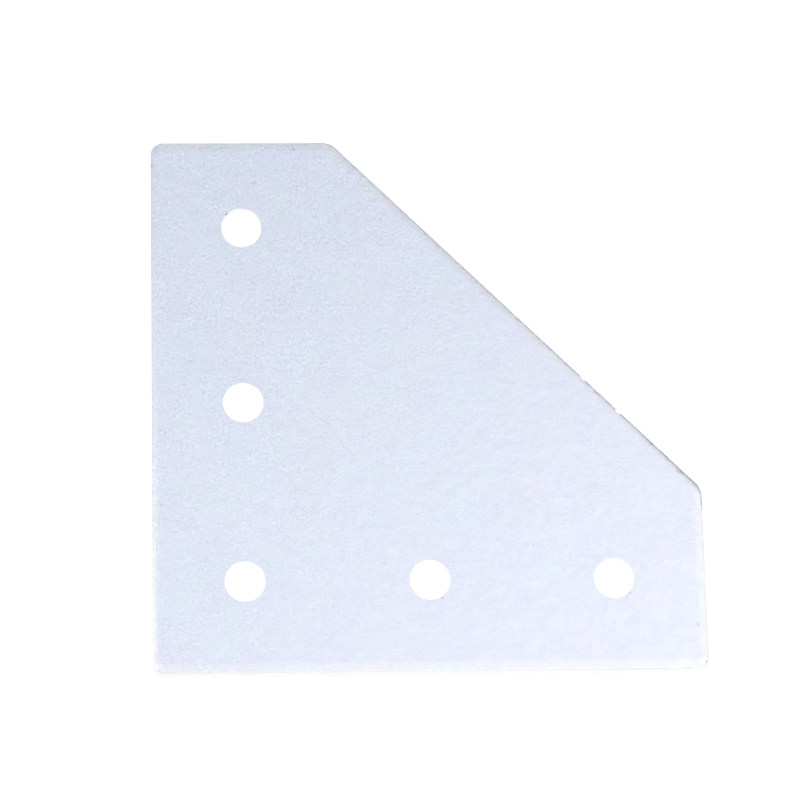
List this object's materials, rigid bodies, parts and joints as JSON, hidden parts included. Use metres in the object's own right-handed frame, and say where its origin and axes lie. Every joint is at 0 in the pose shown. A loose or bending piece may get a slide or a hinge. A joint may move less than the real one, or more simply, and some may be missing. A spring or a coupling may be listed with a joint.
{
  "type": "extrusion joining plate",
  "caption": "Flat L-shaped corner plate with a slanted inner side and a row of plain bolt holes along each leg, for bolting two T-slot extrusions together at a right angle.",
  "frame": {"origin": "axis of the corner hole, at the back face that lies against the extrusions", "axes": "+X and +Y along the centre lines of the two legs, +Z through the thickness, out of the front face"},
  "size_m": [0.09, 0.09, 0.004],
  "materials": {
    "blasted_aluminium": "fine blasted and clear anodised, satin"
  },
  "bodies": {
    "root": {"joining_plate": "blasted_aluminium"}
  },
  "joints": []
}
